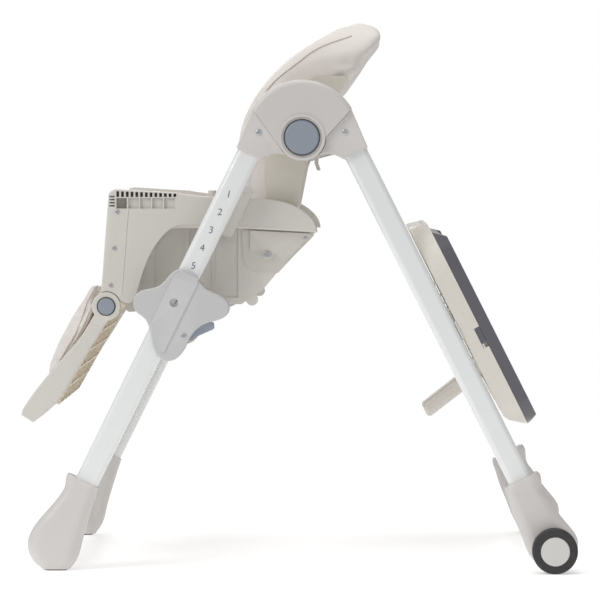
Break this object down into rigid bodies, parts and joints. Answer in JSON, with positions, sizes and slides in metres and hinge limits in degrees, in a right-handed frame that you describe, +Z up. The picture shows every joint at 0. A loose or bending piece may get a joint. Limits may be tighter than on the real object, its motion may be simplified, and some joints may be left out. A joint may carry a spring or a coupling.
{
  "type": "high chair",
  "caption": "Folding baby high chair with padded reclining seat, height sliders on A-frame legs, tilting legrest, castor feet and a tray stowed on the rear legs.",
  "frame": {"origin": "on the floor, at the middle of the footprint", "axes": "+Z up, the child faces -Y, +X is the child's left side and the normal of the plane of symmetry"},
  "size_m": [0.593, 0.83, 0.8205],
  "materials": {
    "tube_paint": "gloss white",
    "bar_paint": "gloss white",
    "hub_plastic": "fine satin, warm grey",
    "slider_plastic": "fine satin, cool grey",
    "button_plastic": "satin slate",
    "seat_plastic": "fine satin, warm grey",
    "panel_plastic": "satin tan",
    "tray_plastic": "semi-gloss, warm grey",
    "insert_plastic": "gloss charcoal",
    "cover": "soft synthetic leather, pinkish beige",
    "webbing": "woven, grey",
    "tyre_rubber": "matt charcoal",
    "pad_rubber": "matt grey",
    "wheel_plastic": "satin, light grey",
    "fastener_steel": "polished"
  },
  "bodies": {
    "front_frame": {"front_upper_tube_left": "tube_paint", "front_upper_tube_right": "tube_paint", "front_lower_tube_left": "tube_paint", "front_lower_tube_right": "tube_paint", "front_socket_left": "hub_plastic", "front_socket_right": "hub_plastic", "front_fasteners": "fastener_steel", "hub_housing_left": "hub_plastic", "hub_housing_right": "hub_plastic", "hub_axles": "fastener_steel", "front_foot_left": "hub_plastic", "front_foot_right": "hub_plastic", "front_foot_pads": "pad_rubber", "front_crossbar": "bar_paint"},
    "rear_frame": {"rear_upper_tube_left": "tube_paint", "rear_upper_tube_right": "tube_paint", "rear_lower_tube_left": "tube_paint", "rear_lower_tube_right": "tube_paint", "rear_socket_left": "hub_plastic", "rear_socket_right": "hub_plastic", "rear_fasteners": "fastener_steel", "rear_foot_left": "hub_plastic", "rear_foot_right": "hub_plastic", "rear_crossbar": "bar_paint", "wheel_axles": "fastener_steel", "tray_pegs": "hub_plastic"},
    "wheel_left": {"tyre_left": "tyre_rubber", "wheel_cap_left": "wheel_plastic"},
    "wheel_right": {"tyre_right": "tyre_rubber", "wheel_cap_right": "wheel_plastic"},
    "hub_button_left": {"hub_button_left": "button_plastic"},
    "hub_button_right": {"hub_button_right": "button_plastic"},
    "seat": {"slider_bracket_left": "slider_plastic", "slider_bracket_right": "slider_plastic", "slider_carriage_left": "slider_plastic", "slider_carriage_right": "slider_plastic", "armrest_left": "seat_plastic", "armrest_right": "seat_plastic", "seat_shell": "seat_plastic", "recline_plates": "seat_plastic", "seat_fasteners": "fastener_steel", "seat_pad": "cover", "lap_harness": "webbing", "harness_buckle": "seat_plastic"},
    "height_lever_left": {"height_lever_left": "button_plastic"},
    "height_lever_right": {"height_lever_right": "button_plastic"},
    "backrest": {"back_shell": "seat_plastic", "back_pad": "cover", "shoulder_straps": "webbing"},
    "recline_handle": {"recline_handle": "seat_plastic"},
    "legrest": {"footrest": "seat_plastic", "legrest_panel": "panel_plastic", "legrest_pad": "cover"},
    "legrest_button_left": {"legrest_button_left": "button_plastic"},
    "legrest_button_right": {"legrest_button_right": "button_plastic"},
    "tray": {"tray_body": "tray_plastic", "crotch_post": "tray_plastic"},
    "tray_insert": {"tray_insert": "insert_plastic"},
    "tray_latch_left": {"tray_latch_left": "insert_plastic"},
    "tray_latch_right": {"tray_latch_right": "insert_plastic"}
  },
  "joints": [
    {"name": "frame_fold", "type": "hinge", "parent": "front_frame", "child": "rear_frame", "pos_m": [0, 0.006, 0.642], "axis": [-1, 0, 0], "range_deg": [0, 53]},
    {"name": "seat_height", "type": "slide", "parent": "front_frame", "child": "seat", "axis": [0, 0.4431, 0.8965], "range_m": [0, 0.177]},
    {"name": "backrest_recline", "type": "hinge", "parent": "seat", "child": "backrest", "pos_m": [0, -0.0464, 0.4674], "axis": [-1, 0, 0], "range_deg": [0, 30]},
    {"name": "recline_handle_pull", "type": "hinge", "parent": "backrest", "child": "recline_handle", "pos_m": [0, 0.0255, 0.626], "axis": [1, 0, 0], "range_deg": [0, 20], "stiffness_Nm_per_rad": 0.3},
    {"name": "legrest_tilt", "type": "hinge", "parent": "seat", "child": "legrest", "pos_m": [0, -0.287, 0.3906], "axis": [-1, 0, 0], "range_deg": [0, 58]},
    {"name": "tray_lift", "type": "slide", "parent": "rear_frame", "child": "tray", "axis": [0, 0.8934, 0.4493], "range_m": [0, 0.3]},
    {"name": "tray_insert_lift", "type": "slide", "parent": "tray", "child": "tray_insert", "axis": [0, 0.8934, 0.4493], "range_m": [0, 0.12]},
    {"name": "wheel_spin_left", "type": "hinge", "parent": "rear_frame", "child": "wheel_left", "pos_m": [0.28, 0.379, 0.0334], "axis": [1, 0, 0], "continuous": true},
    {"name": "hub_button_press_left", "type": "slide", "parent": "front_frame", "child": "hub_button_left", "axis": [-1, 0, 0], "range_m": [0, 0.005], "stiffness_N_per_m": 400},
    {"name": "height_lever_squeeze_left", "type": "hinge", "parent": "seat", "child": "height_lever_left", "pos_m": [0.247, -0.1687, 0.349], "axis": [1, 0, 0], "range_deg": [0, 12], "stiffness_Nm_per_rad": 0.3},
    {"name": "legrest_button_press_left", "type": "slide", "parent": "legrest", "child": "legrest_button_left", "axis": [-1, 0, 0], "range_m": [0, 0.003], "stiffness_N_per_m": 300},
    {"name": "tray_latch_press_left", "type": "slide", "parent": "tray", "child": "tray_latch_left", "axis": [0, 0.4493, -0.8934], "range_m": [0, 0.008], "stiffness_N_per_m": 300},
    {"name": "wheel_spin_right", "type": "hinge", "parent": "rear_frame", "child": "wheel_right", "pos_m": [-0.28, 0.379, 0.0334], "axis": [1, 0, 0], "continuous": true},
    {"name": "hub_button_press_right", "type": "slide", "parent": "front_frame", "child": "hub_button_right", "axis": [1, 0, 0], "range_m": [0, 0.005], "stiffness_N_per_m": 400},
    {"name": "height_lever_squeeze_right", "type": "hinge", "parent": "seat", "child": "height_lever_right", "pos_m": [-0.247, -0.1687, 0.349], "axis": [1, 0, 0], "range_deg": [0, 12], "stiffness_Nm_per_rad": 0.3},
    {"name": "legrest_button_press_right", "type": "slide", "parent": "legrest", "child": "legrest_button_right", "axis": [1, 0, 0], "range_m": [0, 0.003], "stiffness_N_per_m": 300},
    {"name": "tray_latch_press_right", "type": "slide", "parent": "tray", "child": "tray_latch_right", "axis": [0, 0.4493, -0.8934], "range_m": [0, 0.008], "stiffness_N_per_m": 300}
  ]
}
